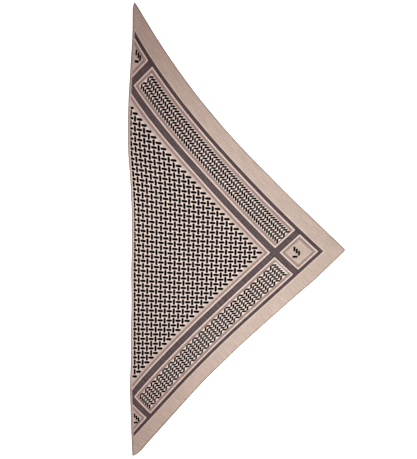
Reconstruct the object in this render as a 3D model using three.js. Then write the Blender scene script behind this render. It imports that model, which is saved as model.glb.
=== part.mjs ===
// A triangle scarf in fine figured knit, laid flat on a surface.
// Millimetres, +Z up. The long edge runs along Y on the -X side, the point opposite it looks to +X,
// and the origin is in the middle of the laid outline, on the surface.
//
// The cloth is charted flat in repeats of its basket figure: u runs from the long edge towards the
// point, v runs along the long edge, less than zero on the upper half. The laid table then says
// where the cloth lies, a row for each section along the long edge.
import * as THREE from 'three';

// the cut, in repeats of the basket figure
const REPEAT = 18.6; // millimetres of flat cloth in one repeat
const POINT = 40.11; // u of the point, where both short edges meet
const CUT = -5.45; // u of the long edge at its middle
const CUT_BOW = 0.6; // how far the long edge falls back at its tips
const TIP = POINT - CUT + CUT_BOW; // v of each tip
const POINT_ROUNDING = 0.28; // how far the rounded point stands back from a sharp one
const TIP_CLOSING = 0.6; // over about this far from a tip, the edges' wander closes to nothing
const TIP_START = 0.06; // how far from a tip the hems start
const TIP_BELLY = 1.1; // how far the lower short edge bellies out near its tip
const BELLY_REACH = 3.3; // over about this far from the tip

// How far the finished edges wander from a straight cut, at even steps of v from tip to tip:
// the long edge towards the point, and the short edges away from the long one.
const WANDER = [
  { long: -0.46, short: 0.06 },
  { long: -0.05, short: -0.13 },
  { long: -0.02, short: -0.1 },
  { long: 0.0, short: -0.1 },
  { long: 0.07, short: -0.12 },
  { long: -0.07, short: 0.05 },
  { long: 0.01, short: 0.09 },
  { long: 0.12, short: 0.06 },
  { long: 0.05, short: -0.15 },
  { long: -0.06, short: 0.15 },
  { long: 0.04, short: 0.02 },
  { long: -0.05, short: 0.08 },
  { long: -0.02, short: 0.02 },
  { long: -0.11, short: -0.06 },
  { long: 0.12, short: 0.0 },
  { long: 0.05, short: 0.0 },
  { long: -0.05, short: 0.0 },
];

// walls and finished edges, in millimetres
const CLOTH_WALL = 2.0;
const BAND_WIDTH = 9.5;
const BAND_WALL = 2.8;
const BAND_LEAST = 0.07; // its width at its ends, in repeats
const HEM_WIDTH = 3.4;
const HEM_WALL = 3.0;
const SEAM_GAP = 0.4;

// how finely the cloth is divided
const ROWS = 60; // across the panel, even, so that one row meets the point
const HEM_STEPS = 44;
const TIPWARD = 1.3; // rows and hem steps lie closer together towards the tips by this power

// Where the cloth lies. At each v the long edge is at x, y. From there a row of REACH repeats would
// run by runX, runY and bend by bowX, bowY. A row that reaches only part of the way takes that part
// of the run and its square of the bow.
const REACH = 45.6;
const LAID = [
  { v: -TIP, x: -382, y: 853, runX: 751, runY: -87, bowX: -101, bowY: 59 },
  { v: -TIP * 0.75, x: -398, y: 608, runX: 788, runY: -118, bowX: -46, bowY: 74 },
  { v: -TIP * 0.5, x: -409, y: 383, runX: 824, runY: -154, bowX: 14, bowY: 86 },
  { v: -TIP * 0.25, x: -398, y: 163, runX: 796, runY: -141, bowX: 29, bowY: 95 },
  { v: 0, x: -394, y: -58, runX: 777, runY: -98, bowX: 34, bowY: 78 },
  { v: TIP * 0.25, x: -395, y: -276, runX: 764, runY: -48, bowX: 31, bowY: 59 },
  { v: TIP * 0.5, x: -396, y: -484, runX: 743, runY: -13, bowX: -3, bowY: 46 },
  { v: TIP * 0.75, x: -399, y: -685, runX: 736, runY: 20, bowX: -58, bowY: 26 },
  { v: TIP, x: -390, y: -853, runX: 800, runY: 54, bowX: -97, bowY: 6 },
];

// Soft rises of the laid cloth off the surface: the middle of each at u, v, its half length along
// the ridge and half width across it in repeats, the ridge's turn from the u direction in degrees,
// and its height in millimetres.
const RISES = [
  { u: 40.0, v: 0.0, along: 6.5, across: 5.0, turn: 0, height: 4.0 },
  { u: 32.0, v: -8.1, along: 6.0, across: 3.4, turn: -45, height: 3.4 },
  { u: 21.5, v: -18.6, along: 8.0, across: 3.8, turn: -50, height: 2.6 },
  { u: 12.5, v: -27.6, along: 5.0, across: 3.0, turn: -40, height: 3.2 },
  { u: 2.0, v: -38.1, along: 5.0, across: 3.2, turn: -45, height: 2.4 },
  { u: 33.5, v: 6.6, along: 5.0, across: 3.0, turn: 45, height: 2.8 },
  { u: 24.0, v: 16.1, along: 8.0, across: 4.2, turn: 50, height: 3.0 },
  { u: 15.5, v: 24.6, along: 6.0, across: 3.2, turn: 40, height: 2.2 },
  { u: 8.0, v: 32.1, along: 5.0, across: 3.0, turn: 45, height: 3.4 },
  { u: -1.0, v: 41.1, along: 4.5, across: 3.0, turn: 45, height: 2.4 },
  { u: -5.6, v: -31.0, along: 5.0, across: 3.0, turn: 0, height: 2.4 },
  { u: -5.5, v: -16.5, along: 8.0, across: 3.6, turn: 6, height: 3.0 },
  { u: -5.4, v: 6.0, along: 6.0, across: 3.0, turn: -4, height: 2.2 },
  { u: -5.5, v: 20.5, along: 9.0, across: 3.4, turn: 3, height: 3.0 },
  { u: -5.7, v: 36.5, along: 4.5, across: 3.0, turn: -5, height: 2.6 },
  { u: -6.0, v: -45.5, along: 5.0, across: 4.5, turn: 0, height: 3.4 },
  { u: -6.0, v: 46.0, along: 4.5, across: 4.0, turn: 0, height: 3.0 },
];

// Profiles of the finished edges: out is the share of the width from the panel's side to the free
// side, up is the share of the wall. Both are flat underneath and turned over at the free side.
const HEM_PROFILE = [
  { out: 0, up: 0 },
  { out: 1, up: 0 },
  { out: 1, up: 0.5 },
  { out: 0.72, up: 1 },
  { out: 0.28, up: 1 },
  { out: 0, up: 0.6 },
];
const BAND_PROFILE = [
  { out: 0, up: 0 },
  { out: 1, up: 0 },
  { out: 1, up: 0.6 },
  { out: 0.88, up: 1 },
  { out: 0.12, up: 1 },
  { out: 0, up: 0.75 },
];

// u of the straight cut of the long edge at v, from which the laid table's rows run
function cutAt(v) {
  return CUT - CUT_BOW * (v / TIP) ** 2;
}

// A smooth value between the rows of a table that goes evenly from tip to tip: a cubic through
// each four rows in turn, and straight on beyond the first and last.
function between(v, column, table = LAID) {
  const last = table.length - 1;
  const place = ((v + TIP) / (2 * TIP)) * last;
  const row = Math.min(Math.max(Math.floor(place), 0), last - 1);
  const t = place - row;
  const b = table[row][column];
  const c = table[row + 1][column];
  const a = row > 0 ? table[row - 1][column] : 2 * b - c;
  const d = row < last - 1 ? table[row + 2][column] : 2 * c - b;
  const bend = 2 * a - 5 * b + 4 * c - d;
  const twist = -a + 3 * b - 3 * c + d;
  return b + 0.5 * t * (c - a + t * (bend + t * twist));
}

// height of the cloth's underside above the surface at u, v
function riseAt(u, v) {
  let height = 0;
  for (const rise of RISES) {
    const turn = THREE.MathUtils.degToRad(rise.turn);
    const along = (u - rise.u) * Math.cos(turn) + (v - rise.v) * Math.sin(turn);
    const across = (v - rise.v) * Math.cos(turn) - (u - rise.u) * Math.sin(turn);
    const far = Math.hypot(along / rise.along, across / rise.across);
    if (far < 1) height += rise.height * Math.cos((far * Math.PI) / 2) ** 2;
  }
  return height;
}

// a point of the laid cloth, up millimetres above its underside
function laid(u, v, up) {
  const part = (u - cutAt(v)) / REACH;
  const x = between(v, 'x') + part * between(v, 'runX') + part * part * between(v, 'bowX');
  const y = between(v, 'y') + part * between(v, 'runY') + part * part * between(v, 'bowY');
  return new THREE.Vector3(x, y, riseAt(u, v) + up);
}

// how far the rounded point draws the short edges back at v
function drawnBack(v) {
  return Math.hypot(v, POINT_ROUNDING) - Math.abs(v);
}

// 0 at a tip, and 1 away from it
function opening(v) {
  return 1 - Math.exp(-(TIP - Math.abs(v)) / TIP_CLOSING);
}

// u of the finished long edge at v
function longEdge(v) {
  return cutAt(v) + opening(v) * between(v, 'long', WANDER);
}

// u of the finished short edges at v, before the point is rounded
function shortEdge(v) {
  const belly = v > 0 ? TIP_BELLY * Math.exp(-(TIP - v) / BELLY_REACH) : 0;
  return POINT - Math.abs(v) + opening(v) * (between(v, 'short', WANDER) + belly);
}

// millimetres across a short edge at v, as a difference of u
function acrossHem(v, width) {
  const slope = (shortEdge(v + 0.01) - shortEdge(v - 0.01)) / 0.02;
  return (width / REPEAT) * Math.hypot(1, Math.abs(v) < 1 ? 1 : slope);
}

// the room between the long edge and a hem of this many millimetres at v
function roomAt(v, hemWidth) {
  return shortEdge(v) - acrossHem(v, hemWidth) - longEdge(v);
}

// v near the tip on this side at which the room beside the hem comes down to what is given
function whereRoom(side, hemWidth, least) {
  let outer = TIP - TIP_START;
  let inner = TIP - 3;
  for (let halving = 0; halving < 40; halving += 1) {
    const middle = (outer + inner) / 2;
    if (roomAt(side * middle, hemWidth) > least) inner = middle;
    else outer = middle;
  }
  return side * inner;
}

function solid(name, points, triangles, colour, roughness) {
  const geometry = new THREE.BufferGeometry();
  const flat = new Float32Array(points.flatMap((p) => [p.x, p.y, p.z]));
  geometry.setAttribute('position', new THREE.BufferAttribute(flat, 3));
  geometry.setIndex(triangles.flat());
  geometry.computeVertexNormals();
  const material = new THREE.MeshStandardMaterial({ color: colour, roughness, metalness: 0 });
  material.name = name;
  const mesh = new THREE.Mesh(geometry, material);
  mesh.name = name;
  return mesh;
}

// The panel: a wall between the band and the hems. Its rows run across, and each row has one more
// place than the row before until the point, then one less, so that the short edges pass through
// the rows' last places.
function panel() {
  const inner = (BAND_WIDTH + SEAM_GAP) / REPEAT;
  const ends = [-1, 1].map((side) => whereRoom(side, HEM_WIDTH + SEAM_GAP, inner));
  const points = [];
  const first = [];
  const places = [];
  for (let row = 0; row <= ROWS; row += 1) {
    const steps = Math.min(row, ROWS - row);
    const v = ends[row < ROWS / 2 ? 0 : 1] * (1 - (steps / (ROWS / 2)) ** TIPWARD);
    const left = longEdge(v) + inner;
    const right = shortEdge(v) - drawnBack(v) - acrossHem(v, HEM_WIDTH + SEAM_GAP);
    first.push(points.length / 2);
    places.push(steps);
    for (let place = 0; place <= steps; place += 1) {
      const u = steps === 0 ? left : left + ((right - left) * place) / steps;
      points.push(laid(u, v, 0), laid(u, v, CLOTH_WALL));
    }
  }
  const triangles = [];
  const under = (index) => index * 2;
  const over = (index) => index * 2 + 1;
  const face = (a, b, c) => {
    triangles.push([over(a), over(b), over(c)], [under(a), under(c), under(b)]);
  };
  const side = (a, b) => {
    triangles.push([under(a), under(b), over(b)], [under(a), over(b), over(a)]);
  };
  for (let row = 0; row < ROWS; row += 1) {
    const here = first[row];
    const next = first[row + 1];
    const shared = Math.min(places[row], places[row + 1]);
    for (let place = 0; place < shared; place += 1) {
      face(here + place, next + place, next + place + 1);
      face(here + place, next + place + 1, here + place + 1);
    }
    if (places[row + 1] > places[row]) face(here + shared, next + shared, next + shared + 1);
    else face(here + shared, next + shared, here + shared + 1);
    side(here, next);
    side(next + places[row + 1], here + places[row]);
  }
  return solid('panel', points, triangles, 0xcbb7a8, 0.9);
}

// A strip of one profile carried along stations. Each station turns a profile point into a place.
function strip(name, stations, profile, place, colour) {
  const points = [];
  const triangles = [];
  const sides = profile.length;
  stations.forEach((station) => {
    profile.forEach((corner) => points.push(place(station, corner)));
  });
  for (let step = 0; step < stations.length - 1; step += 1) {
    for (let corner = 0; corner < sides; corner += 1) {
      const a = step * sides + corner;
      const b = step * sides + ((corner + 1) % sides);
      triangles.push([a, a + sides, b + sides], [a, b + sides, b]);
    }
  }
  const last = (stations.length - 1) * sides;
  for (let corner = 1; corner < sides - 1; corner += 1) {
    triangles.push([0, corner, corner + 1], [last, last + corner + 1, last + corner]);
  }
  return solid(name, points, triangles, colour, 0.85);
}

// The band on the long edge: from the free edge in, and narrower where the hems close on it.
function longEdgeBand() {
  const hem = HEM_WIDTH + SEAM_GAP;
  const ends = [-1, 1].map((side) => whereRoom(side, hem, BAND_LEAST));
  const stations = [];
  for (let row = 0; row <= ROWS; row += 1) {
    const steps = Math.min(row, ROWS - row);
    stations.push(ends[row < ROWS / 2 ? 0 : 1] * (1 - (steps / (ROWS / 2)) ** TIPWARD));
  }
  return strip('long_edge_band', stations, BAND_PROFILE, (v, corner) => {
    const width = Math.min(BAND_WIDTH / REPEAT, roomAt(v, hem));
    return laid(longEdge(v) + width * (1 - corner.out), v, corner.up * BAND_WALL);
  }, 0xb8a193);
}

// A rolled hem on a short edge, from its tip to the mitre at the point. side is -1 above, 1 below.
function hem(name, side) {
  const mitre = SEAM_GAP / 2 / REPEAT;
  const length = TIP - TIP_START - mitre;
  const stations = [];
  for (let step = 0; step <= HEM_STEPS; step += 1) {
    stations.push(side * (mitre + length * (1 - (step / HEM_STEPS) ** TIPWARD)));
  }
  return strip(name, side < 0 ? stations.reverse() : stations, HEM_PROFILE, (v, corner) => {
    const width = Math.min(acrossHem(v, HEM_WIDTH), shortEdge(v) - longEdge(v));
    const u = shortEdge(v) - drawnBack(v) - width * (1 - corner.out);
    return laid(u, v, corner.up * HEM_WALL);
  }, 0xa38c7e);
}

const scarf = new THREE.Group();
scarf.name = 'triangle_scarf';
scarf.add(panel(), longEdgeBand(), hem('upper_hem', -1), hem('lower_hem', 1));

export default scarf;
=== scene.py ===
import bpy
import numpy as np
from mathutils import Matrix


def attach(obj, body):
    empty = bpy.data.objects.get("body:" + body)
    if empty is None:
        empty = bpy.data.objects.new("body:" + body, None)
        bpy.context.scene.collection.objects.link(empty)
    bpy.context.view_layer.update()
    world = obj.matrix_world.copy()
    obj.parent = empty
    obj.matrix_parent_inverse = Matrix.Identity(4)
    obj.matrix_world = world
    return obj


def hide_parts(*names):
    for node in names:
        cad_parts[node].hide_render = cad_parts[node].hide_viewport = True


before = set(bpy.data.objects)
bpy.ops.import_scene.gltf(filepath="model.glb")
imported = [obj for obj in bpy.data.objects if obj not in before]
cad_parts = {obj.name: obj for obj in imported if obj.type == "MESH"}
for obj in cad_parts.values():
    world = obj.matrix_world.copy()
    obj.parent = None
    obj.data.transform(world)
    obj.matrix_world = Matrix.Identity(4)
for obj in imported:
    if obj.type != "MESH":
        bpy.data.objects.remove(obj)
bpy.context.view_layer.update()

MM = 0.001

# the cut, in repeats
REPEAT = 18.6 * MM
POINT = 40.11
CUT = -5.45
CUT_BOW = 0.6
TIP = POINT - CUT + CUT_BOW
POINT_ROUNDING = 0.28
TIP_CLOSING = 0.6  # over about this far from a tip, the edges' wander closes to nothing
TIP_START = 0.06  # how far from a tip the hems start
TIP_BELLY = 1.1  # how far the lower short edge bellies out near its tip
BELLY_REACH = 3.3  # over about this far from the tip

# how far the finished edges wander from a straight cut, in repeats, at even steps of v from tip to
# tip: the long edge towards the point, and the short edges away from the long one
WANDER = np.array([
    (-0.46, 0.06), (-0.05, -0.13), (-0.02, -0.1), (0.0, -0.1), (0.07, -0.12), (-0.07, 0.05),
    (0.01, 0.09), (0.12, 0.06), (0.05, -0.15), (-0.06, 0.15), (0.04, 0.02), (-0.05, 0.08),
    (-0.02, 0.02), (-0.11, -0.06), (0.12, 0.0), (0.05, 0.0), (-0.05, 0.0),
])

# walls and finished edges
CLOTH_WALL = 1.9 * MM
BAND_WIDTH = 9.5 * MM
BAND_WALL = 2.8 * MM
HEM_WIDTH = 3.4 * MM
HEM_WALL = 3.0 * MM
TUCK = 1.3 * MM  # how far the panel reaches into the band and the hems
HEM_CLEAR = HEM_WIDTH - TUCK  # how much of a hem's width the panel leaves free

# where the cloth lies, in millimetres: a row for each section along the long edge, evenly from
# tip to tip, with x, y of the long edge, then the run and the bow of a row of REACH repeats
REACH = 45.6
LAID = MM * np.array([
    (-382, 853, 751, -87, -101, 59),
    (-398, 608, 788, -118, -46, 74),
    (-409, 383, 824, -154, 14, 86),
    (-398, 163, 796, -141, 29, 95),
    (-394, -58, 777, -98, 34, 78),
    (-395, -276, 764, -48, 31, 59),
    (-396, -484, 743, -13, -3, 46),
    (-399, -685, 736, 20, -58, 26),
    (-390, -853, 800, 54, -97, 6),
])

# soft rises off the surface: middle u, v, half length, half width, turn in degrees, height in mm
RISES = (
    (40.0, 0.0, 6.5, 5.0, 0, 4.0),
    (32.0, -8.1, 6.0, 3.4, -45, 3.4),
    (21.5, -18.6, 8.0, 3.8, -50, 2.6),
    (12.5, -27.6, 5.0, 3.0, -40, 3.2),
    (2.0, -38.1, 5.0, 3.2, -45, 2.4),
    (33.5, 6.6, 5.0, 3.0, 45, 2.8),
    (24.0, 16.1, 8.0, 4.2, 50, 3.0),
    (15.5, 24.6, 6.0, 3.2, 40, 2.2),
    (8.0, 32.1, 5.0, 3.0, 45, 3.4),
    (-1.0, 41.1, 4.5, 3.0, 45, 2.4),
    (-5.6, -31.0, 5.0, 3.0, 0, 2.4),
    (-5.5, -16.5, 8.0, 3.6, 6, 3.0),
    (-5.4, 6.0, 6.0, 3.0, -4, 2.2),
    (-5.5, 20.5, 9.0, 3.4, 3, 3.0),
    (-5.7, 36.5, 4.5, 3.0, -5, 2.6),
    (-6.0, -45.5, 5.0, 4.5, 0, 3.4),
    (-6.0, 46.0, 4.5, 4.0, 0, 3.0),
)

# the camera looks straight down; the picture is 417 by 459
PICTURE = (417, 459)
PIXEL = 3.76 * MM
CAMERA_FOOT = (-0.1046, -0.0016)
CAMERA_HEIGHT = 7.0
SCALE_HEIGHT = 3.0 * MM  # height in the cloth at which a pixel is true
SENSOR = 36.0  # millimetres, as Blender counts a sensor and a lens
SEES_TO = 50.0


# The laid cloth

def cut_at(v):
    """u of the straight cut of the long edge at v, from which the laid table's rows run: the
    middle's, less the bow times the square of the way to a tip."""
    return CUT - CUT_BOW * (v / TIP) ** 2


def table_at(v, table):
    """The values of a table at v: a uniform Catmull-Rom cubic through each four rows in turn,
    with a row added straight on before the first and after the last."""
    rows = np.concatenate([[2 * table[0] - table[1]], table, [2 * table[-1] - table[-2]]])
    last = len(table) - 1
    way = (np.asarray(v, float) + TIP) / (2 * TIP) * last
    row = np.clip(np.floor(way).astype(int), 0, last - 1)
    t = (way - row)[..., None]
    a, b, c, d = rows[row], rows[row + 1], rows[row + 2], rows[row + 3]
    bend = 2 * a - 5 * b + 4 * c - d
    twist = -a + 3 * b - 3 * c + d
    return b + 0.5 * t * (c - a + t * (bend + t * twist))


def rise_at(u, v):
    """Height of the underside: the sum, over the rises, of height times the squared cosine that
    falls from the middle of each to its oval edge."""
    height = 0
    for middle_u, middle_v, length, width, turn, top in RISES:
        cos, sin = np.cos(np.radians(turn)), np.sin(np.radians(turn))
        along = (u - middle_u) * cos + (v - middle_v) * sin
        across = (v - middle_v) * cos - (u - middle_u) * sin
        far = np.minimum(np.hypot(along / length, across / width), 1)
        height = height + top * MM * np.cos(far * np.pi / 2) ** 2
    return height


def laid(u, v, up):
    """The place of u, v, up metres above the underside: the long edge's place, plus the run times
    the part of the row that u is along it, plus the bow times that part squared."""
    u, v, up = np.broadcast_arrays(u, v, up)
    table = table_at(v, LAID)
    part = ((u - cut_at(v)) / REACH)[..., None]
    flat = table[..., 0:2] + part * table[..., 2:4] + part**2 * table[..., 4:6]
    return np.concatenate([flat, (rise_at(u, v) + up)[..., None]], axis=-1)


def drawn_back(v):
    """How far the rounded point draws the short edges back: a hyperbola's gap to its two lines."""
    return np.hypot(v, POINT_ROUNDING) - np.abs(v)


def opening(v):
    """0 at a tip and 1 away from it: one less a falling exponential of the way from the tip."""
    return 1 - np.exp(-(TIP - np.abs(v)) / TIP_CLOSING)


def long_edge(v):
    """u of the finished long edge: the cut, and its wander, which closes at the tips."""
    return cut_at(v) + opening(v) * table_at(v, WANDER)[..., 0]


def short_edge(v):
    """u of the finished short edges before the point is rounded: a straight line down from the
    point, and its wander, with a belly near the lower tip that falls off exponentially."""
    belly = np.where(np.asarray(v) > 0, TIP_BELLY * np.exp(-(TIP - v) / BELLY_REACH), 0)
    return POINT - np.abs(v) + opening(v) * (table_at(v, WANDER)[..., 1] + belly)


def across_hem(v, width):
    """A width across a short edge, as a difference of u: it grows with the edge's slope, which
    counts as 1 within a repeat of the point, where the two edges meet."""
    step = 0.01
    slope = (short_edge(v + step) - short_edge(v - step)) / (2 * step)
    return width / REPEAT * np.hypot(1, np.where(np.abs(v) < 1, 1, slope))


def room_at(v, hem_width):
    """The room between the long edge and a hem of this width."""
    return short_edge(v) - across_hem(v, hem_width) - long_edge(v)


def where_room(side, hem_width, least):
    """v near the tip on this side at which the room beside the hem comes down to what is given,
    found by halving, from three repeats in, where there is always more."""
    outer, inner, halvings = TIP - TIP_START, TIP - 3, 40
    for _ in range(halvings):
        middle = (outer + inner) / 2
        if room_at(side * middle, hem_width) > least:
            inner = middle
        else:
            outer = middle
    return side * inner


def between_ends(ends, count):
    """v in even steps from each end to the point's row in the middle."""
    return np.concatenate([np.linspace(ends[0], 0, count // 2 + 1),
                           np.linspace(0, ends[1], count // 2 + 1)[1:]])


# Pieces into meshes

def piece(name, points, faces, chart, finish, body="root"):
    """A mesh object of these points and faces, smooth but for sharp turns. chart is for the
    finish to read: u, v in repeats, and then 1 on the panel's face or 0 on its underside, or on a
    strip the profile's own out."""
    mesh = bpy.data.meshes.new(name)
    mesh.from_pydata(points.reshape(-1, 3).tolist(), [], faces)
    place = mesh.attributes.new("chart", "FLOAT_VECTOR", "POINT")
    place.data.foreach_set("vector", np.ascontiguousarray(chart, np.float32).ravel())
    mesh.shade_smooth()
    mesh.set_sharp_from_angle(angle=np.radians(50))
    mesh.materials.append(finish)
    made = bpy.data.objects.new(name, mesh)
    bpy.context.scene.collection.objects.link(made)
    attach(made, body)
    return made


def strip(stations, profile, place):
    """Points and faces of a closed profile carried along stations: place turns each station and
    profile corner, as whole arrays, into u, v, up. Squares join each station to the next, and a
    flat face closes each end."""
    out, up = np.array(profile).T
    u, v, height = np.broadcast_arrays(*place(np.asarray(stations)[:, None], out[None], up[None]))
    count, sides = u.shape
    step, corner = np.meshgrid(np.arange(count - 1), np.arange(sides), indexing="ij")
    a = step * sides + corner
    b = step * sides + (corner + 1) % sides
    faces = np.stack([a, a + sides, b + sides, b], axis=-1).reshape(-1, 4).tolist()
    faces.append(list(range(sides)))
    faces.append([(count - 1) * sides + corner for corner in reversed(range(sides))])
    chart = np.stack([u, v, np.broadcast_to(out, u.shape)], axis=-1)
    return laid(u, v, height), faces, chart


# The panel

PANEL_ROWS = 320  # even, so that one row meets the point
MAP_SIDE = 94.4  # repeats along a side of the panel's own map
MAP_MARGIN = 0.006  # left bare inside the map's sides, as a share of one
MAP_RIM = 0.003  # how far the rim's lower corners lie outside the face's half, a share too


def bake_place(u, v, under):
    """Where u, v goes in the unit square of the panel's own map. The two short edges' directions
    are square to each other, so the face fills one half of the square from its top right corner,
    and the underside, turned over, fills the other half from the bottom left."""
    from_upper = (POINT - (u - v)) / MAP_SIDE
    from_lower = (POINT - (u + v)) / MAP_SIDE
    face = np.stack([1 - MAP_MARGIN - from_lower, 1 - MAP_MARGIN - from_upper], axis=-1)
    back = np.stack([MAP_MARGIN + from_upper, MAP_MARGIN + from_lower], axis=-1)
    return np.where(np.asarray(under)[..., None], back, face)


def panel(finish):
    """The cloth between the band and the hems. Rows run across at even steps of v, and each has
    one more place than the row before until the point, then one less, so that the short edges
    pass through the rows' last places. A face, an underside a wall below it, and a rim."""
    inner = (BAND_WIDTH - TUCK) / REPEAT
    rows = np.arange(PANEL_ROWS + 1)
    sizes = 1 + np.minimum(rows, PANEL_ROWS - rows)
    first = np.cumsum(sizes) - sizes
    row = np.repeat(rows, sizes)
    spot = np.arange(sizes.sum())
    place = spot - first[row]
    v = between_ends([where_room(side, HEM_CLEAR, inner) for side in (-1, 1)], PANEL_ROWS)[row]
    left = long_edge(v) + inner
    right = short_edge(v) - drawn_back(v) - across_hem(v, HEM_CLEAR)
    u = left + (right - left) * place / np.maximum(sizes[row] - 1, 1)

    before_last = row < PANEL_ROWS
    beyond = np.minimum(row + 1, PANEL_ROWS)
    shared = np.minimum(sizes[row], sizes[beyond]) - 1
    next_spot = first[beyond] + place
    square = before_last & (place < shared)
    edge = before_last & (place == shared)
    grows = edge & (sizes[beyond] > sizes[row])
    narrows = edge & (sizes[beyond] < sizes[row])
    squares = np.stack([spot, next_spot, next_spot + 1, spot + 1], axis=-1)[square]
    corners = np.concatenate([
        np.stack([spot, next_spot, next_spot + 1], axis=-1)[grows],
        np.stack([spot, next_spot, spot + 1], axis=-1)[narrows],
    ])

    count = len(spot)
    last = first + sizes - 1
    left_a, left_b = first[:-1], first[1:]
    right_a, right_b = last[1:], last[:-1]
    rim_a = np.concatenate([left_a, right_a])
    rim_b = np.concatenate([left_b, right_b])
    rim = np.stack([rim_a + count, rim_b + count, rim_b, rim_a], axis=-1)
    parts = (squares, corners, squares[:, ::-1] + count, corners[:, ::-1] + count, rim)
    faces = [face for part in parts for face in part.tolist()]

    points = np.concatenate([laid(u, v, CLOTH_WALL), laid(u, v, 0)])
    chart = np.stack([np.tile(u, 2), np.tile(v, 2), np.repeat([1, 0], count)], axis=-1)
    made = piece("figured_panel", points, faces, chart, finish)

    # the panel's own map, where the rim's lower corners lie just outside the face's half
    corner_points = np.concatenate([part.ravel() for part in parts])
    on_rim = np.arange(len(corner_points)) >= len(corner_points) - rim.size
    under = (corner_points >= count) & ~on_rim
    corner_u, corner_v = u[corner_points % count], v[corner_points % count]
    places = bake_place(corner_u, corner_v, under)
    from_long, from_upper, from_lower = [-0.7, -0.7], [0.0, 1.0], [1.0, 0.0]
    at_long = (corner_u - cut_at(corner_v) < 1)[:, None]
    at_upper = (corner_v < 0)[:, None]
    outward = np.where(at_long, from_long, np.where(at_upper, from_upper, from_lower))
    places += MAP_RIM * outward * (on_rim & (corner_points >= count))[:, None]
    layer = made.data.uv_layers.new(name="OFBake")
    layer.data.foreach_set("uv", places.astype(np.float32).ravel())
    return made


# Finished edges

# profiles: out is the share of the width from the panel's side to the free side, up is the share
# of the wall; the band has two grooves where its stitches pull it in
BAND_PROFILE = (
    (0.0, 0.0), (0.5, 0.0), (0.96, 0.0), (1.0, 0.25), (1.0, 0.6), (0.97, 0.86), (0.9, 1.0),
    (0.7, 0.96), (0.5, 1.0), (0.4, 1.0), (0.34, 0.86), (0.28, 0.98), (0.2, 0.98), (0.14, 0.84),
    (0.08, 0.96), (0.0, 0.8),
)
BAND_STEPS = 640
BAND_LEAST = 0.07  # the band's width at its ends, in repeats
HEM_STEPS = 1900
HEM_SIDES = 12
HEM_LEAST_UP = 0.03  # share of the wall below which the hem's round is flat
WRAP = 2.3 * MM  # from one overlock wrap to the next
WRAP_SWELL = 0.06  # how much a wrap swells and shrinks the hem, as a share of its radius

# rows of stitches: how many, how long and thick, and where they run
BAND_STITCHES = {"length": 2.3 * MM, "thick": 0.55 * MM}
BAND_STITCH_COUNT = 560
BAND_STITCH_ROWS = (0.14, 0.34)  # out, as the grooves in the profile
BAND_STITCH_UP = 0.86
BAND_STITCH_STOP = 1.6  # repeats from the tips
HEM_STITCHES = {"length": 2.2 * MM, "thick": 0.5 * MM}
HEM_STITCH_COUNT = 420
HEM_STITCH_ROW = -0.28  # out, on the panel beside the hem
HEM_STITCH_ENDS = (0.012, 0.995)  # share of the way from the tip to the point


def long_edge_band(finish):
    """The turned band: its profile carried from tip to tip, narrower where the hems close on it."""
    def place(v, out, up):
        width = np.minimum(BAND_WIDTH / REPEAT, room_at(v, HEM_CLEAR))
        return long_edge(v) + width * (1 - out), v + 0 * out, up * BAND_WALL + 0 * v

    ends = [where_room(side, HEM_CLEAR, BAND_LEAST) for side in (-1, 1)]
    stations = between_ends(ends, BAND_STEPS)
    return piece("turned_band", *strip(stations, BAND_PROFILE, place), finish)


def hem_place(share, out, side):
    """u, v on a hem: share from its tip to the point, out from the panel's side to the free one."""
    v = side * (TIP - TIP_START) * (1 - share)
    width = np.minimum(across_hem(v, HEM_WIDTH), short_edge(v) - long_edge(v))
    return short_edge(v) - drawn_back(v) - width * (1 - out), v + 0 * out


def rolled_hem(name, side, finish):
    """A rolled and overlocked edge: a round profile carried from the tip to the point, whose
    radius swells by a cosine once for each wrap of the thread, a little later round its side."""
    turn = np.arange(HEM_SIDES) * 2 * np.pi / HEM_SIDES
    profile = np.stack([turn, turn], axis=-1)
    length = np.sqrt(2) * REPEAT * TIP

    def place(share, turn, _):
        wrap = np.cos(2 * np.pi * share * length / WRAP + turn)
        swell = 1 - WRAP_SWELL + WRAP_SWELL * wrap
        out = 0.5 - 0.5 * swell * np.cos(turn)
        up = np.maximum(0.5 - 0.5 * swell * np.sin(turn), HEM_LEAST_UP)
        u, v = hem_place(share, out, side)
        return u, v, up * HEM_WALL

    stations = np.linspace(0, 1, HEM_STEPS)
    if side < 0:
        stations = stations[::-1]
    return piece(name, *strip(stations, profile, place), finish)


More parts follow.
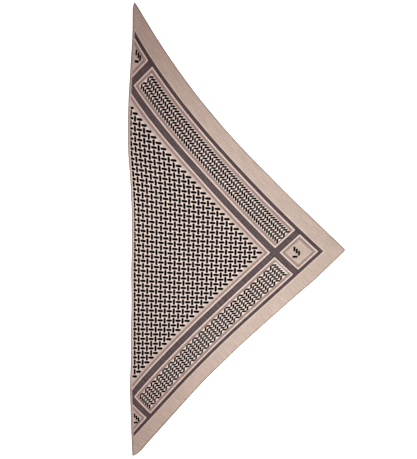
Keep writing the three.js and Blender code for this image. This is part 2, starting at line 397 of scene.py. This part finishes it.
def stitches(name, lines, length, thick, finish):
    """Rows of short stitches, each set along its line at one of the line's places, which lines
    holds as u, v, up. A stitch is a spindle: its girth is the root of one less the square of the
    way along it, and its middle bows up out of the cloth by a parabola and dives in at the ends."""
    rings, sides = 5, 6
    taper, thinnest = 1.9, 0.05
    lift, dive = 0.45, 3.2
    t = np.linspace(-0.5, 0.5, rings)
    turn = np.arange(sides) * 2 * np.pi / sides
    girth = thick / 2 * np.sqrt(np.maximum(1 - (taper * t) ** 2, thinnest))
    bow = thick * (lift - dive * t**2)
    along = np.repeat(t * length, sides)
    across = (girth[:, None] * np.cos(turn)[None]).ravel()
    rise = (girth[:, None] * np.sin(turn)[None] + bow[:, None]).ravel()
    ring, corner = np.meshgrid(np.arange(rings - 1), np.arange(sides), indexing="ij")
    a = (ring * sides + corner).ravel()
    b = (ring * sides + (corner + 1) % sides).ravel()
    walls = np.stack([a, b, b + sides, a + sides], axis=-1)
    caps = [list(range(sides))[::-1], list(range((rings - 1) * sides, rings * sides))]
    points, chart, faces, used = [], [], [], 0
    for u, v, up in lines:
        middle = laid(u, v, up)
        forward = np.gradient(middle, axis=0)
        forward /= np.linalg.norm(forward, axis=1, keepdims=True)
        sideways = np.cross([0, 0, 1.0], forward)
        sideways /= np.linalg.norm(sideways, axis=1, keepdims=True)
        upward = np.cross(forward, sideways)
        points.append((middle[:, None] + along[None, :, None] * forward[:, None]
                       + across[None, :, None] * sideways[:, None]
                       + rise[None, :, None] * upward[:, None]).reshape(-1, 3))
        count, size = len(middle), rings * sides
        base = used + np.arange(count) * size
        faces += (walls[None] + base[:, None, None]).reshape(-1, 4).tolist()
        for cap in caps:
            faces += (np.array(cap)[None] + base[:, None]).tolist()
        each = np.stack(np.broadcast_arrays(u, v, np.ones(count)), axis=-1)
        chart.append(np.repeat(each, size, axis=0))
        used += count * size
    return piece(name, np.concatenate(points), faces, np.concatenate(chart), finish)


def band_stitching(finish):
    """Two rows along the band, in its two grooves."""
    end = TIP - BAND_STITCH_STOP
    v = np.linspace(-end, end, BAND_STITCH_COUNT)
    lines = []
    for out in BAND_STITCH_ROWS:
        u = long_edge(v) + BAND_WIDTH / REPEAT * (1 - out)
        lines.append((u, v, BAND_WALL * BAND_STITCH_UP))
    return stitches("band_stitching", lines, finish=finish, **BAND_STITCHES)


def hem_stitching(finish):
    """The overlock's needle line, on the panel just inside each hem."""
    share = np.linspace(*HEM_STITCH_ENDS, HEM_STITCH_COUNT)
    lines = [(*hem_place(share, HEM_STITCH_ROW, side), CLOTH_WALL) for side in (-1, 1)]
    return stitches("hem_stitching", lines, finish=finish, **HEM_STITCHES)


# The figure and its yarns

# All in repeats. p is u - v and q is u + v. across is u + |v|, which grows towards the short
# edges, and back is u - |v|.
THICK_STRIPE = 25.28  # across at the middle of the thick stripes
THICK_HALF = 0.955
THIN_STRIPE = 34.775
THIN_HALF = 0.515
END_BAR = -37.42  # back at the middle of the bars near the tips
STRIPE_RIM = (-0.3, 0.1)  # from and to, away from a stripe: its own darker edge
PALE_LINE = (-0.2, 0.46)  # the pale line beside it
TAUPE_LINE = (0.5, 1.2)  # the taupe frame inside that
BASKET_DASH = (0.66, 0.27, 0.72)  # half length, half width, and half its reach of p and q
BASKET_LAST = 22.5  # across, beyond which the field has no more dashes
BASKET_FIRST = -5.5  # u before which it has none either
BASKET_LEAN = (-10.3, 0.019)  # from this v to the upper tip, its columns lean by this share
CHEVRON_DASH = (0.66, 0.543, 0.21)  # half its reach of p and of q, and half its width
CHEVRON_ROW = 1.3333  # p from one row of dashes to the next
CHEVRON_STEP = 0.8877  # q from one dash to the next in its row
UPPER_CHEVRON = {"rows": (0, 3), "first_p": 28.21, "steps": (-65, 0), "first_q": 23.12,
                 "upright_first": True}
LOWER_CHEVRON = {"rows": (-33, 10), "first_p": 9.108, "steps": (0, 5), "first_q": 27.99,
                 "upright_first": False}
DRAWN_IN = (0.3, -5.0, 1.8)  # the band draws the figure in by this much at this u, and then less
SOFT = 0.035  # half the width over which one yarn gives way to the next
BASKET_GROUND = 22.2  # across: the dashes' own ground is cream up to here
CHEVRON_GROUND = (27.6, 32.85)  # across
CHEVRON_ENDS = (-35.3, 23.45)  # back
GROUND_SOFT = 0.15

# single dashes, as middle u, v, half length along u, half length along v
LYING = (0.52, 0.24)
UPRIGHT = (0.22, 0.52)
LONE_DASHES = (
    (-5.03, -37.45, *UPRIGHT), (-4.48, -37.00, *UPRIGHT), (-4.00, -36.56, *UPRIGHT),
    (-4.76, -35.85, *LYING),
    (-5.09, 35.67, *UPRIGHT), (-4.61, 36.21, *UPRIGHT), (-4.13, 36.70, *UPRIGHT),
    (-4.89, 37.43, *LYING),
    # the same small figure in the point's square
    (29.3, -0.75, *UPRIGHT), (29.8, -0.25, *UPRIGHT), (30.3, 0.25, *UPRIGHT),
    (29.5, 1.0, *LYING),
)

# the knit
STITCHES = 9.0  # in one repeat of p or q
STITCH_LEAN = 1.1  # how far a stitch's legs lean, in stitches
BETWEEN_COURSES = 0.35  # share of a leg's height that is left between two courses

# its unevenness: how fast it changes along p and along q, how much light it moves, and then its
# detail and roughness
YARN_BY_YARN = (2.6, 2.6, 0.85, 3.0, 0.7)
BY_COURSES = (2.4, 0.22, 0.45, 2.0, 0.5)
IN_CLOUDS = (0.16, 0.16, 0.06, 2.0, 0.5)
BY_LOOPS = (0.487, 0.3)  # the loops' mean height, and how strongly they paint light on the loops and shade between them

# shares of one yarn over another
TAUPE_SHARE = 0.92
OUTER_PALE = 0.5  # of the pale line where it lies outside the frames
RIM_SHARE = 0.28
BACK_SHARE = 0.3  # of the figure, on the underside
BACK_SPECKLE = (5.5, 2.0, 0.8)  # scale, detail and roughness
STRIPE_UNEVEN = 1.2  # how much more uneven the stripes' dark yarn is, as a power
NEAR_TIPS = (28.0, 8.0)  # |v| at which the painted shade at the tips is half there, and half its fade
FOLD_SHADE = (0.7, 0.14, 0.95)  # painted shade on the band's rounded fold: out at which it starts, half its fade, share
STITCHED_SIDE = (-0.1, 0.5, 0.12, 0.75)  # out from and to, half its fade, share
BAND_TIP_SHADE = 0.16  # painted shade: share of ink on the band at the tips
# painted shade: share of ink on the hem at the tips
HEM_TIP_SHADE = 0.45
BETWEEN_WRAPS = 0.7


def yarn(red, green, blue):
    """A colour given in sRGB, as linear light."""
    c = np.array([red, green, blue]) / 255
    light = np.where(c <= 0.04045, c / 12.92, ((c + 0.055) / 1.055) ** 2.4)
    return (*light.tolist(), 1.0)


SAND = yarn(205, 188, 176)
PALE = yarn(209, 192, 183)
CREAM = yarn(226, 210, 202)
FIGURE_CREAM = yarn(238, 223, 216)
CHEVRON_CREAM = yarn(244, 229, 222)
TAUPE = yarn(158, 138, 131)
PLUM_GREY = yarn(98, 85, 87)
DEEP_PLUM = yarn(92, 78, 80)
INK = yarn(3, 3, 3)
HEM_BROWN = yarn(146, 124, 114)
BAND_ROSE = yarn(191, 167, 156)
PAINTED_TIP_SHADE = (0.995, 0.955, 0.96, 1.0)  # painted shade: times the cloth's colour at the tips, rosier and darker where the light falls off


class Finish:
    """One material. Most methods add nodes and hand back what comes out of the last, bump feeds
    the shader's normal, and done feeds the rest and hands back the material."""

    def __init__(self, name):
        self.material = bpy.data.materials.new(name)
        self.material.use_nodes = True
        self.nodes = self.material.node_tree.nodes
        self.links = self.material.node_tree.links
        self.shader = self.nodes["Principled BSDF"]

    def feed(self, socket, value):
        if isinstance(value, bpy.types.NodeSocket):
            self.links.new(value, socket)
        else:
            socket.default_value = value

    def math(self, operation, *values, clamp=False):
        node = self.nodes.new("ShaderNodeMath")
        node.operation = operation
        node.use_clamp = clamp
        for socket, value in zip(node.inputs, values):
            self.feed(socket, value)
        return node.outputs[0]

    def chain(self, operation, result, *others):
        for other in others:
            result = self.math(operation, result, other)
        return result

    def add(self, *values):
        return self.chain("ADD", *values)

    def less(self, a, b):
        return self.math("SUBTRACT", a, b)

    def times(self, *values):
        return self.chain("MULTIPLY", *values)

    def size(self, a):
        return self.math("ABSOLUTE", a)

    def nearest(self, *values):
        return self.chain("MINIMUM", *values)

    def farthest(self, *values):
        return self.chain("MAXIMUM", *values)

    def held(self, value, low, high):
        """The value itself, but no less than low and no more than high."""
        return self.nearest(self.farthest(value, float(low)), float(high))

    def inside(self, gap, soft=SOFT):
        """1 where gap is under zero and 0 where it is over, with a soft step between."""
        return self.math("MULTIPLY_ADD", gap, -0.5 / soft, 0.5, clamp=True)

    def between(self, value, low, high, soft=SOFT):
        """1 where value is from low to high."""
        middle, half = (low + high) / 2, (high - low) / 2
        return self.inside(self.less(self.size(self.less(value, middle)), half), soft)

    def box(self, u, v, half_u, half_v):
        """How far outside a dash a place is, given how far it is from the dash's middle."""
        return self.farthest(self.less(self.size(u), half_u), self.less(self.size(v), half_v))

    def mix(self, share, first, second, way="MIX"):
        node = self.nodes.new("ShaderNodeMix")
        node.data_type = "RGBA"
        node.blend_type = way
        self.feed(node.inputs[0], share)
        self.feed(node.inputs[6], first)
        self.feed(node.inputs[7], second)
        return node.outputs[2]

    def vector(self, x, y, z=0.0):
        node = self.nodes.new("ShaderNodeCombineXYZ")
        for socket, value in zip(node.inputs, (x, y, z)):
            self.feed(socket, value)
        return node.outputs[0]

    def noise(self, at, scale, detail, roughness):
        node = self.nodes.new("ShaderNodeTexNoise")
        self.feed(node.inputs["Vector"], at)
        node.inputs["Scale"].default_value = scale
        node.inputs["Detail"].default_value = detail
        node.inputs["Roughness"].default_value = roughness
        return node.outputs["Fac"]

    def chart(self):
        """u, v and the side of the cloth, or out on a strip, from the piece's own attribute."""
        node = self.nodes.new("ShaderNodeAttribute")
        node.attribute_name = "chart"
        split = self.nodes.new("ShaderNodeSeparateXYZ")
        self.links.new(node.outputs["Vector"], split.inputs[0])
        return split.outputs

    def bump(self, height, strength, depth):
        node = self.nodes.new("ShaderNodeBump")
        node.inputs["Strength"].default_value = strength
        node.inputs["Distance"].default_value = depth
        self.feed(node.inputs["Height"], height)
        self.links.new(node.outputs[0], self.shader.inputs["Normal"])

    def done(self, colour, rough, specular=0.18, sheen=0.06):
        self.feed(self.shader.inputs["Base Color"], colour)
        self.shader.inputs["Roughness"].default_value = rough
        self.shader.inputs["Specular IOR Level"].default_value = specular
        self.shader.inputs["Sheen Weight"].default_value = sheen
        self.shader.inputs["Sheen Roughness"].default_value = 0.5
        return self.material


def knit_height(f, p, q):
    """Stocking stitch: two legs side by side in each wale along p, each leaning so that the
    courses along q make small V shapes."""
    wale = f.math("FRACT", f.times(p, STITCHES))
    legs = f.size(f.math("SINE", f.times(wale, 2 * np.pi)))
    lean = f.times(f.size(f.less(wale, 0.5)), STITCH_LEAN)
    course = f.math("FRACT", f.add(f.times(q, STITCHES), lean))
    loops = f.math("SINE", f.times(course, np.pi))
    return f.times(legs, f.add(BETWEEN_COURSES, f.times(loops, 1 - BETWEEN_COURSES)))


def heather_and_loop_shade(f, p, q, loops):
    """A little more or less light in the yarn's tone: yarn by yarn, along the courses and in broad
    clouds; and painted light and shade, less between the loops than on them."""
    def uneven(by_p, by_q, light, detail, roughness):
        at = f.vector(f.times(p, by_p), f.times(q, by_q))
        return f.times(f.less(f.noise(at, 1.0, detail, roughness), 0.5), light)

    # painted light on the loops and painted shade between them, by their height
    mean, light = BY_LOOPS
    return f.add(1.0, uneven(*YARN_BY_YARN), uneven(*BY_COURSES), uneven(*IN_CLOUDS),
                 f.times(f.less(loops, mean), light))


def basket_dash(f, u, v, lying):
    """How far outside the nearest lying dash of the basket field, or the nearest upright one: a
    lying dash's middle has whole u and v whose sum is even, an upright one's has an odd sum."""
    across, along = (v, u) if lying else (u, v)
    line = f.math("ROUND", across)
    shift = f.math("PINGPONG", line if lying else f.add(line, 1.0), 1.0)
    middle = f.add(f.times(f.math("ROUND", f.times(f.less(along, shift), 0.5)), 2.0), shift)
    long_half, thin_half, corner_half = BASKET_DASH
    by_length, by_width = f.size(f.less(along, middle)), f.size(f.less(across, line))
    corner = f.times(f.less(f.add(by_length, by_width), corner_half), np.sqrt(0.5))
    dash = f.farthest(f.less(by_length, long_half), f.less(by_width, thin_half), corner)
    at_u, at_v = (middle, line) if lying else (line, middle)
    return f.farthest(dash, f.less(f.add(at_u, f.size(at_v)), BASKET_LAST),
                      f.less(BASKET_FIRST, at_u))


def chevron(f, u, v, rows, first_p, steps, first_q, upright_first):
    """How far outside the nearest dash of a herringbone: rows at even steps of p, dashes at even
    steps of q in each, lying and upright by turns of the row, with their ends cut along p and q."""
    p, q = f.less(u, v), f.add(u, v)
    row = f.held(f.math("ROUND", f.times(f.less(p, first_p), 1 / CHEVRON_ROW)), *rows)
    row_p = f.add(f.times(row, CHEVRON_ROW), first_p)
    odd = f.math("PINGPONG", row, 1.0)

    def dash(by_u):
        # a lying dash is found by its v and an upright one by its u, where neighbours never meet
        start = f.times(f.add(first_q, row_p) if by_u else f.less(first_q, row_p), 0.5)
        at = f.less(u if by_u else v, start)
        step = f.held(f.math("ROUND", f.times(at, 2 / CHEVRON_STEP)), *steps)
        dash_q = f.add(f.times(step, CHEVRON_STEP), first_q)
        half_p, half_q, thin_half = CHEVRON_DASH
        middle = f.add(dash_q, row_p) if by_u else f.less(dash_q, row_p)
        gap = f.less(f.size(f.less(u if by_u else v, f.times(middle, 0.5))), thin_half)
        ends = f.box(f.less(p, row_p), f.less(q, dash_q), half_p, half_q)
        return f.farthest(gap, f.times(ends, np.sqrt(0.5)))

    upright = odd if not upright_first else f.less(1.0, odd)
    lying_gap, upright_gap = dash(False), dash(True)
    return f.add(lying_gap, f.times(upright, f.less(upright_gap, lying_gap)))


def figured_knit():
    """The panel's cloth, yarn over yarn: ground, taupe frames, cream lines, stripes, dashes.
    Near the long edge the whole figure is drawn in by a falling exponential of u."""
    f = Finish("figured_knit")
    u, v, face = f.chart()
    most, where, reach = DRAWN_IN
    fall = f.math("EXPONENT", f.times(f.less(where, u), 1 / reach))
    u = f.less(u, f.times(fall, most))
    p, q = f.less(u, v), f.add(u, v)
    out = f.size(v)
    across, back = f.add(u, out), f.less(u, out)

    # stripes: the gap to the nearest one, where the thick ones and the bars stop at the thin one
    thick = f.nearest(f.size(f.less(across, THICK_STRIPE)), f.size(f.less(back, THICK_STRIPE)),
                      f.size(f.less(back, END_BAR)))
    thick_gap = f.farthest(f.less(thick, THICK_HALF), f.less(across, THIN_STRIPE))
    thin_gap = f.less(f.size(f.less(across, THIN_STRIPE)), THIN_HALF)
    stripe_gap = f.nearest(thick_gap, thin_gap)
    enclosed = f.inside(f.less(across, THIN_STRIPE))
    square = f.inside(f.less(THICK_STRIPE, back))

    colour = f.mix(f.times(enclosed, f.less(1.0, square)), SAND, PALE)
    taupe = f.times(f.between(stripe_gap, *TAUPE_LINE), enclosed, TAUPE_SHARE)
    colour = f.mix(taupe, colour, TAUPE)
    pale = f.add(OUTER_PALE, f.times(enclosed, 1 - OUTER_PALE))
    colour = f.mix(f.times(f.between(stripe_gap, *PALE_LINE), pale), colour, CREAM)
    rim = f.times(f.between(stripe_gap, *STRIPE_RIM), RIM_SHARE)
    stripe = f.mix(rim, f.mix(f.inside(thin_gap), PLUM_GREY, DEEP_PLUM), INK)
    colour = f.mix(f.inside(stripe_gap), colour, stripe)

    # dashes, on grounds of their own; the basket's lean grows evenly from where it starts
    lean_from, lean = BASKET_LEAN
    leant = f.add(u, f.times(f.farthest(f.less(lean_from, v), 0.0), lean))
    dashes = f.nearest(basket_dash(f, leant, v, lying=True), basket_dash(f, leant, v, lying=False),
                       chevron(f, u, v, **UPPER_CHEVRON), chevron(f, u, v, **LOWER_CHEVRON))
    for middle_u, middle_v, half_u, half_v in LONE_DASHES:
        dash = f.box(f.less(u, middle_u), f.less(v, middle_v), half_u, half_v)
        dashes = f.nearest(dashes, dash)
    chevrons = f.times(f.between(across, *CHEVRON_GROUND, GROUND_SOFT),
                       f.between(back, *CHEVRON_ENDS, GROUND_SOFT))
    field = f.inside(f.less(across, BASKET_GROUND), GROUND_SOFT)
    colour = f.mix(field, colour, FIGURE_CREAM)
    colour = f.mix(chevrons, colour, CHEVRON_CREAM)
    colour = f.mix(f.inside(dashes), colour, INK)

    # the underside carries every yarn, so the figure is only a shadow there
    loops = knit_height(f, p, q)
    speckle = f.mix(f.noise(f.vector(p, q), *BACK_SPECKLE), TAUPE, PLUM_GREY)
    reverse = f.mix(BACK_SHARE, speckle, colour)
    colour = f.mix(face, reverse, colour)

    light = heather_and_loop_shade(f, p, q, loops)
    light = f.math("POWER", light, f.add(1.0, f.times(f.inside(stripe_gap), STRIPE_UNEVEN)))
    colour = f.mix(1.0, colour, f.vector(light, light, light), "MULTIPLY")
    # painted shade: the cloth rosier and darker towards its tips, where the light falls off
    colour = f.mix(near_tips(f, v), colour, PAINTED_TIP_SHADE, "MULTIPLY")
    f.bump(loops, strength=0.6, depth=0.5 * MM)
    return f.done(colour, rough=0.9, specular=0.03, sheen=0.0)


def plain_knit(name, colour, raised, rough):
    """A plain knit of a strip, in the colour that the given function works out from u, v and out.
    raised says how strongly its loops stand up."""
    f = Finish(name)
    u, v, out = f.chart()
    p, q = f.less(u, v), f.add(u, v)
    loops = knit_height(f, p, q)
    light = heather_and_loop_shade(f, p, q, loops)
    toned = f.mix(1.0, colour(f, u, v, out), f.vector(light, light, light), "MULTIPLY")
    f.bump(loops, strength=raised, depth=0.35 * MM)
    return f.done(toned, rough)


def near_tips(f, v):
    """0 over the middle of the scarf and 1 near its tips, where the painted shade lies."""
    half_way, soft = NEAR_TIPS
    return f.inside(f.less(half_way, f.size(v)), soft)


def band_colour(f, u, v, out):
    """The band's rose beige, paler along its stitched side; painted shade browns its fold and
    darkens it towards the tips.
    """
    start, soft, fold_shade_share = FOLD_SHADE
    low, high, pale_soft, pale = STITCHED_SIDE
    # painted shade: the rounded fold browner
    colour = f.mix(f.times(f.inside(f.less(start, out), soft), fold_shade_share), BAND_ROSE, HEM_BROWN)
    colour = f.mix(f.times(f.between(out, low, high, pale_soft), pale), colour, CREAM)
    # painted shade: darker towards the tips, where the light falls off
    return f.mix(f.times(near_tips(f, v), BAND_TIP_SHADE), colour, INK)


def wrapped_thread(f, u, v, out):
    """Thread over thread along the hem, browner between the wraps, with painted shade darkening it
    towards the tips.
    """
    along = f.times(f.less(u, f.size(v)), REPEAT / np.sqrt(2) / WRAP)
    groove = f.math("PINGPONG", along, 0.5)
    thread = f.mix(f.times(groove, BETWEEN_WRAPS), HEM_BROWN, TAUPE)
    # painted shade: darker towards the tips, where the light falls off
    return f.mix(f.times(near_tips(f, v), HEM_TIP_SHADE), thread, INK)


# Floor, light, camera

FLOOR_HALF = 5.0
FLOOR_DROP = 0.4 * MM  # below the scarf's underside
FLOOR_WHITE = yarn(247, 247, 246)
FLOOR_GLOW = (0.95, 1, 1, 1)
FLOOR_GLOW_STRENGTH = 0.82
LAMPS = (  # name, place, watts
    ("middle_lamp", (-0.12, 0.04, 0.85), 7.6),
    ("corner_lamp", (0.62, -1.10, 0.85), 11.2),
)
LAMP_WIDTH = 1.0
LAMP_WHITE = (0.96, 0.99, 0.97)
SURROUND_ROSE = (1.0, 0.66, 0.64, 1)
SURROUND_STRENGTH = 0.24


def floor():
    """A broad plain sheet under the scarf, pale, and glowing a little, as a light table does."""
    f = Finish("pale_floor")
    f.shader.inputs["Emission Color"].default_value = FLOOR_GLOW
    f.shader.inputs["Emission Strength"].default_value = FLOOR_GLOW_STRENGTH
    finish = f.done(FLOOR_WHITE, rough=0.9, specular=0.1, sheen=0.0)
    corners = [(x * FLOOR_HALF, y * FLOOR_HALF, -FLOOR_DROP)
               for x, y in ((-1, -1), (1, -1), (1, 1), (-1, 1))]
    mesh = bpy.data.meshes.new("floor")
    mesh.from_pydata(corners, [], [(0, 1, 2, 3)])
    mesh.materials.append(finish)
    made = bpy.data.objects.new("floor", mesh)
    bpy.context.scene.collection.objects.link(made)


def lights():
    """Two broad round lamps, one above the middle of the picture and a stronger one beyond its
    lower right corner, and a faint warm surround."""
    for name, place, watts in LAMPS:
        lamp = bpy.data.lights.new(name, "AREA")
        lamp.shape = "DISK"
        lamp.size = LAMP_WIDTH
        lamp.energy = watts
        lamp.color = LAMP_WHITE
        made = bpy.data.objects.new(name, lamp)
        made.location = place
        made.visible_camera = False
        bpy.context.scene.collection.objects.link(made)
    world = bpy.data.worlds.new("surround")
    world.use_nodes = True
    surround = world.node_tree.nodes["Background"]
    surround.inputs["Color"].default_value = SURROUND_ROSE
    surround.inputs["Strength"].default_value = SURROUND_STRENGTH
    bpy.context.scene.world = world
    bpy.context.scene.view_settings.view_transform = "Standard"
    bpy.context.scene.view_settings.look = "None"


def camera():
    """Straight down, far enough off that the cloth's height hardly moves its places: the lens
    length is the sensor's height times the distance over the height of the field."""
    data = bpy.data.cameras.new("camera")
    data.sensor_fit = "VERTICAL"
    data.sensor_height = SENSOR
    data.lens = SENSOR * (CAMERA_HEIGHT - SCALE_HEIGHT) / (PICTURE[1] * PIXEL)
    data.clip_end = SEES_TO
    made = bpy.data.objects.new("camera", data)
    made.location = (*CAMERA_FOOT, CAMERA_HEIGHT)
    bpy.context.scene.collection.objects.link(made)
    bpy.context.scene.camera = made


# Putting it together

camera()
lights()
floor()

knit = figured_knit()
band_knit = plain_knit("plain_band", band_colour, raised=0.35, rough=0.86)
hem_thread = plain_knit("rolled_hem", wrapped_thread, raised=0.2, rough=0.8)

cloth = panel(knit)
band = long_edge_band(band_knit)
upper = rolled_hem("upper_rolled_hem", -1, hem_thread)
lower = rolled_hem("lower_rolled_hem", 1, hem_thread)
band_rows = band_stitching(band_knit)
hem_rows = hem_stitching(hem_thread)

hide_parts("panel")
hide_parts("long_edge_band")
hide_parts("upper_hem")
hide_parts("lower_hem")
